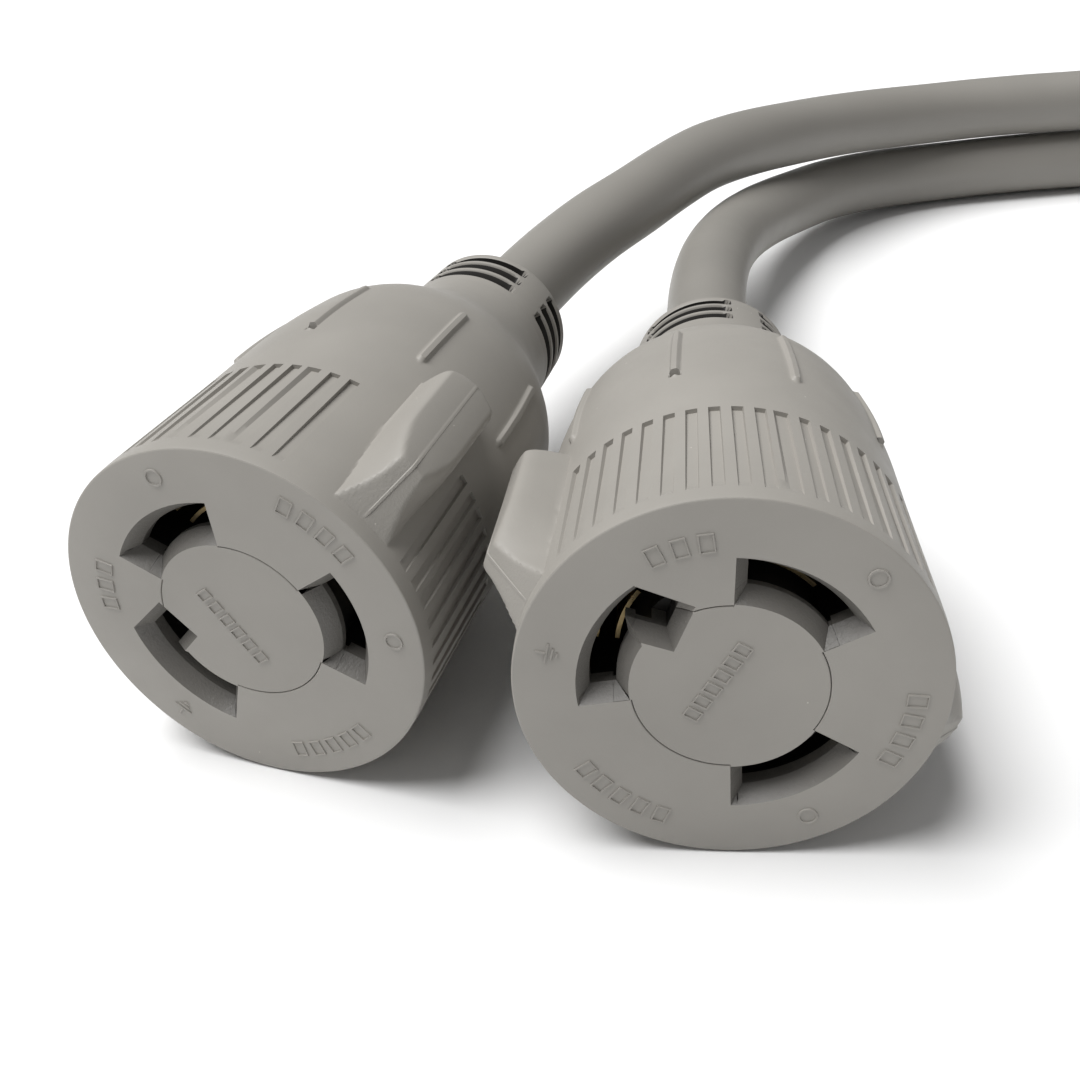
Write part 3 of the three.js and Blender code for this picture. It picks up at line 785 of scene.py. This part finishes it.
# ---- strain relief -----------------------------------------------------------------------------
def strain_relief(name, front, end, front_r, rear_r, rows):
    """A ribbed sleeve: rows of round-ended slots, turned so that webs run between them."""
    sides = 180
    angles = [360 * i / sides for i in range(sides)]
    inner = CORD_R + 0.15
    rings = [circle(inner, -front, angles), circle(front_r, -front, angles)]
    for depth in spread(front + 0.4, rows[0] - 1.6, 0.8) + spread(rows[0] - 1.6, rows[-1] + 1.5, 0.24):
        base = front_r + (rear_r - front_r) * (depth - front) / (end - front)
        deepest = min(RELIEF_SLOT_CUT, base - inner - RELIEF_CORE)
        ring = []
        for angle in angles:
            radius = base - deepest * slot_share(angle, depth, base, rows)
            turn = math.radians(angle)
            ring.append((radius * math.cos(turn), radius * math.sin(turn), -depth))
        rings.append(ring)
    rings += [
        circle(rear_r, -end + 0.5, angles), circle(rear_r - 0.15, -end + 0.15, angles),
        circle(rear_r - 0.5, -end, angles), circle(inner, -end, angles),
    ]
    relief = closed_grid(name, rings, body_vinyl)
    closed_normals(relief)
    relief.data.materials.append(near_black_painted_shade_vinyl)
    # painted shade: the floors of the slots are given the near-black vinyl
    for face in relief.data.polygons:
        sunk = math.hypot(face.center.x, face.center.y) < rear_r - 0.7
        in_slot = sunk and -end + 1 < face.center.z < -rows[0] + 1.6
        if in_slot and face.normal.dot(Vector((face.center.x, face.center.y, 0))) > 0:
            face.material_index = 1
    smooth(relief, 50)
    return relief


def slot_share(angle, depth, radius, rows):
    """1 in the slots of a strain relief, 0 on its rings and webs."""
    pitch = 360 / RELIEF_SLOTS
    centre = RIDGE_ANGLE + pitch / 2
    offset = (angle - centre + pitch / 2) % pitch - pitch / 2
    half_length = radius * math.radians(RELIEF_SLOT_SPAN / 2) - RELIEF_SLOT_WIDTH / 2
    beyond = max(abs(radius * math.radians(offset)) - half_length, 0)
    distance = min(math.hypot(beyond, depth - row) for row in rows) - RELIEF_SLOT_WIDTH / 2
    return step(-distance, -0.2, 0.35)


# ---- plug --------------------------------------------------------------------------------------
def plug_body(name):
    angles, skin = body_skin(PLUG_OUTLINE)
    bore = CARRIER_R + CLEARANCE
    front = [
        [(0, 0, -62)], circle(20, -62, angles), circle(bore, -CARRIER_REAR - 6, angles),
        circle(bore, -0.2, angles), circle(bore + 0.2, 0, angles),
    ]
    rear = [circle(23.2, -BODY_END, angles), [(0, 0, -BODY_END)]]
    body = closed_grid(name, front + skin + rear, body_vinyl)
    body.data.materials.append(grain_vinyl)
    closed_normals(body)
    mark_grain(body)
    bores = []
    for side in (-1, 1):
        y = side * PLUG_CORD_PITCH / 2
        hole = [(px, y + py) for px, py in arc(CORD_R + CLEARANCE, 0, 352.5, 47)]
        bores.append(prism("bore", [(-60, hole), (-BODY_END - 1, hole)], body_vinyl))
    cut(body, *bores)
    return body


# ---- cords -------------------------------------------------------------------------------------
LAY_PITCH = 0.16  # one turn of the three cores inside the jacket, in metres
LAY_LIFT = 0.010  # share of the radius by which they show through it
CORD_SIDES = 40


def between(a, b, start, end, x):
    return a * ((end - x) / (end - start)) + b * ((x - start) / (end - start))


def centreline(route, steps=8):
    """The centripetal Catmull-Rom line through the route, in metres."""
    points = [Vector(p) * MM for p in route]
    points = [2 * points[0] - points[1], *points, 2 * points[-1] - points[-2]]
    line = []
    for p in zip(points, points[1:], points[2:], points[3:]):
        t = [0.0]
        for a, b in zip(p, p[1:]):
            t.append(t[-1] + math.sqrt((b - a).length))
        for i in range(steps):
            x = t[1] + (t[2] - t[1]) * i / steps
            near = [between(p[j], p[j + 1], t[j], t[j + 1], x) for j in range(3)]
            wide = [between(near[j], near[j + 1], t[j], t[j + 2], x) for j in range(2)]
            line.append(between(wide[0], wide[1], t[1], t[2], x))
    line.append(points[-2])
    return line


def cord_mesh(name, line):
    """A tube along the line, closed at both ends, with the cores' lay just showing."""
    radius = CORD_R * MM
    tangents = [(b - a).normalized() for a, b in zip([line[0], *line[:-1]], [*line[1:], line[-1]])]
    side = tangents[0].cross(Vector((0, 0, 1))).normalized()
    travelled = 0.0
    rings = []
    for i, (point, tangent) in enumerate(zip(line, tangents)):
        if i:
            travelled += (point - line[i - 1]).length
        side = (side - tangent * side.dot(tangent)).normalized()
        other = tangent.cross(side)
        ring = []
        for j in range(CORD_SIDES):
            turn = 2 * math.pi * j / CORD_SIDES
            lay = math.cos(3 * (turn - 2 * math.pi * travelled / LAY_PITCH))
            r = radius * (1 + LAY_LIFT * lay)
            ring.append(tuple(point + (side * math.cos(turn) + other * math.sin(turn)) * r))
        rings.append(ring)
    rings = [[tuple(line[0])], *rings, [tuple(line[-1])]]
    tube = closed_grid(name, rings, jacket_vinyl)
    closed_normals(tube)
    smooth(tube, 40)
    return tube


# ---- build -------------------------------------------------------------------------------------
def settle(obj, matrix, slot_name, *nodes):
    """Puts a finished piece in its place, on the fixed body, in the stead of its CAD nodes."""
    if matrix:
        obj.data.transform(matrix)
    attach(obj, "root")
    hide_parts(*nodes)


def lay_cord(name, route, node):
    line = centreline(route)
    tube = cord_mesh(name, line)
    settle(tube, None, "cord_jacket", node)


def build_connector(prefix, spot):
    matrix = placement(spot)
    body = connector_body(f"{prefix}_body")
    join(body, *marks(MARKS))
    smooth(body)
    settle(body, matrix, "moulded_pvc", f"{prefix}_moulded_body")
    carrier = contact_carrier(f"{prefix}_carrier")
    join(carrier, *straight_marks())
    smooth(carrier)
    settle(carrier, matrix, "carrier_pvc", f"{prefix}_contact_carrier")
    relief = strain_relief(
        f"{prefix}_relief", BODY_END - 0.2, RELIEF_END, RELIEF_R - 0.03, RELIEF_REAR_R, RELIEF_ROWS
    )
    settle(relief, matrix, "moulded_pvc", f"{prefix}_strain_relief")


def build_plug(spot):
    matrix = placement(spot)
    body = plug_body("plug_body")
    smooth(body)
    settle(body, matrix, "moulded_pvc", "plug_moulded_body")
    for level, side in (("upper", 1), ("lower", -1)):
        relief = strain_relief(
            f"plug_{level}_relief", BODY_END + 0.1, PLUG_RELIEF_END, PLUG_RELIEF_R, PLUG_RELIEF_R - 0.4,
            PLUG_RELIEF_ROWS,
        )
        shift = Matrix.Translation((0, side * PLUG_CORD_PITCH / 2, 0))
        settle(relief, matrix @ shift, "moulded_pvc", f"plug_{level}_strain_relief")


def dress_cad_nodes():
    """The CAD nodes that stay get their finish."""
    for name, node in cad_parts.items():
        if name.endswith("_wire"):
            finish = wire_finish[name.split("_")[2]]
        elif name.endswith("_blade"):
            finish = blade_metal
        elif name.endswith(("_contact", "_spring_leaf")):
            finish = contact_brass_painted_shade
        elif name.endswith("_cord_end"):
            finish = jacket_vinyl
        else:
            finish = carrier_vinyl
        node.data.materials[0] = finish


dress_cad_nodes()
lay_cord("cord_a_jacket", ROUTE_A, "cord_a")
lay_cord("cord_b_jacket", ROUTE_B, "cord_b")
build_connector("connector_a", CONNECTOR_A)
build_connector("connector_b", CONNECTOR_B)
build_plug(PLUG)


# ---- stage -------------------------------------------------------------------------------------
WORLD_STRENGTH = 0.24
KEY_DIRECTION = (0.47, -0.03, -1.12)
KEY_SPREAD = 45  # degrees across, for soft shadows
KEY_STRENGTH = 4.1


def make_floor():
    half = 4
    floor = make_object(
        "floor", [(-half, -half, 0), (half, -half, 0), (half, half, 0), (-half, half, 0)], [(0, 1, 2, 3)]
    )
    paper = bpy.data.materials.new("floor_paper")
    paper.use_nodes = True
    shader = paper.node_tree.nodes["Principled BSDF"]
    shader.inputs["Base Color"].default_value = (0.84, 0.84, 0.84, 1)
    shader.inputs["Roughness"].default_value = 0.9
    floor.data.materials.append(paper)
    floor.location.z = -0.0002


def make_lights():
    world = bpy.data.worlds.new("studio")
    world.use_nodes = True
    background = world.node_tree.nodes["Background"]
    background.inputs["Color"].default_value = (1, 1, 1, 1)
    background.inputs["Strength"].default_value = WORLD_STRENGTH
    bpy.context.scene.world = world
    light = bpy.data.lights.new("key", "SUN")
    light.angle = math.radians(KEY_SPREAD)
    light.energy = KEY_STRENGTH
    key = bpy.data.objects.new("key", light)
    key.rotation_mode = "QUATERNION"
    key.rotation_quaternion = Vector(KEY_DIRECTION).to_track_quat("-Z", "Y")
    bpy.context.scene.collection.objects.link(key)


def make_camera():
    data = bpy.data.cameras.new("camera")
    data.lens = CAMERA_LENS
    data.sensor_width = SENSOR
    data.clip_start = 0.01
    camera = bpy.data.objects.new("camera", data)
    turn = Matrix.Rotation(math.radians(90 - CAMERA_PITCH), 4, "X")
    turn = turn @ Matrix.Rotation(math.radians(CAMERA_ROLL), 4, "Z")
    camera.matrix_world = Matrix.Translation(CAMERA_PLACE) @ turn
    bpy.context.scene.collection.objects.link(camera)
    bpy.context.scene.camera = camera


make_floor()
make_lights()
make_camera()
bpy.context.scene.view_settings.view_transform = "Standard"
